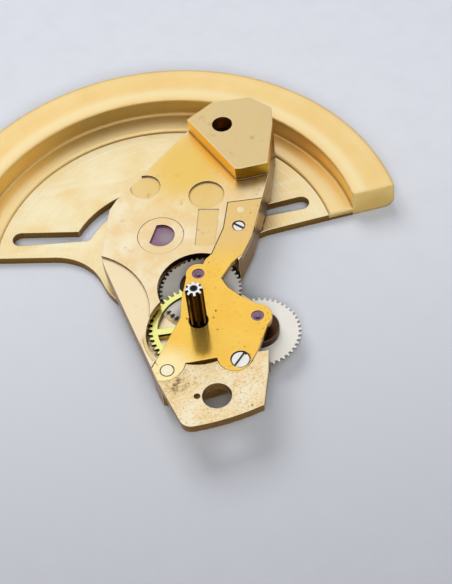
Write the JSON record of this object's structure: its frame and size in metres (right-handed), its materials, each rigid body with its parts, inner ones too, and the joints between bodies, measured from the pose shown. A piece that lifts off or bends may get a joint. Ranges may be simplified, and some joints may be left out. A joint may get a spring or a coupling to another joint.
{
  "type": "automatic winding module",
  "caption": "Wrist watch automatic winding module: half-round gilt rotor, bridge with jewelled reversing wheels, reduction wheel and a long winding pinion.",
  "frame": {"origin": "rotor axis on the rotor's outer face, the face that lies on the table", "axes": "+Z along the rotor axis from the rotor to the movement side, +Y to the middle of the rotor's heavy half, +X to the right when the movement side is seen"},
  "size_m": [0.0246, 0.0243, 0.005],
  "materials": {
    "gilt_rotor_web": "satin gilt, fine circular grain",
    "gilt_rotor_rim": "satin gilt heavy metal",
    "frosted_gilt": "frosted gilt, worn on the edges",
    "gold_plated_cover": "satin gold plate",
    "yellow_brass": "fine turned brass",
    "pale_brass": "polished brass",
    "matt_nickel": "matt nickel",
    "brown_bronze": "brown bronze, turned",
    "polished_steel": "polished steel",
    "dark_steel": "polished hardened steel",
    "ruby": "polished synthetic ruby"
  },
  "bodies": {
    "bridge": {"auto_bridge": "frosted_gilt", "bearing_bush": "frosted_gilt", "rotor_ruby": "ruby", "rotor_end_ruby": "ruby", "ruby_reverser_a_lower": "ruby", "ruby_reverser_b_lower": "ruby", "ruby_reduction_lower": "ruby", "cover_plate": "gold_plated_cover", "ruby_reverser_a_upper": "ruby", "ruby_reverser_b_upper": "ruby", "cover_screw_large": "polished_steel", "cover_screw_small": "polished_steel", "steady_pin_large": "pale_brass", "steady_pin_small": "pale_brass"},
    "rotor": {"rotor_plate": "gilt_rotor_web", "rotor_weight": "gilt_rotor_rim", "rotor_hub": "gilt_rotor_web", "rotor_hub_rivets": "yellow_brass", "rotor_axle": "polished_steel", "rotor_pinion": "polished_steel", "axle_clip": "polished_steel"},
    "reverser_a_driver": {"reverser_a_wheel": "matt_nickel", "reverser_a_drum": "brown_bronze", "reverser_a_clicks": "polished_steel"},
    "reverser_a_arbor": {"reverser_a_pinion": "polished_steel", "reverser_a_ratchet": "polished_steel"},
    "reverser_b_driver": {"reverser_b_wheel": "matt_nickel", "reverser_b_drum": "brown_bronze", "reverser_b_clicks": "polished_steel"},
    "reverser_b_arbor": {"reverser_b_pinion": "polished_steel", "reverser_b_ratchet": "polished_steel"},
    "winding_train": {"reduction_wheel": "yellow_brass", "winding_pinion": "dark_steel"}
  },
  "joints": [
    {"name": "rotor_spin", "type": "hinge", "parent": "bridge", "child": "rotor", "pos_m": [0, 0, 0.00074], "axis": [0, 0, 1], "continuous": true},
    {"name": "reverser_a_drive_spin", "type": "hinge", "parent": "bridge", "child": "reverser_a_driver", "pos_m": [0.00167, -0.00278, 0.00074], "axis": [0, 0, 1], "continuous": true},
    {"name": "reverser_a_arbor_spin", "type": "hinge", "parent": "bridge", "child": "reverser_a_arbor", "pos_m": [0.00167, -0.00278, 0.00074], "axis": [0, 0, 1], "continuous": true},
    {"name": "reverser_b_drive_spin", "type": "hinge", "parent": "bridge", "child": "reverser_b_driver", "pos_m": [0.00431, -0.00585, 0.00074], "axis": [0, 0, 1], "continuous": true},
    {"name": "reverser_b_arbor_spin", "type": "hinge", "parent": "bridge", "child": "reverser_b_arbor", "pos_m": [0.00431, -0.00585, 0.00074], "axis": [0, 0, 1], "continuous": true},
    {"name": "winding_train_spin", "type": "hinge", "parent": "bridge", "child": "winding_train", "pos_m": [0.00142, -0.00566, 0.00074], "axis": [0, 0, 1], "continuous": true}
  ],
  "couplings": [
    {"joint": "reverser_a_drive_spin", "follows": "rotor_spin", "ratio": -0.6},
    {"joint": "reverser_b_drive_spin", "follows": "rotor_spin", "ratio": 0.6},
    {"joint": "reverser_a_arbor_spin", "follows": "rotor_spin", "ratio": -0.6},
    {"joint": "reverser_b_arbor_spin", "follows": "rotor_spin", "ratio": -0.6},
    {"joint": "winding_train_spin", "follows": "rotor_spin", "ratio": 0.1102}
  ]
}
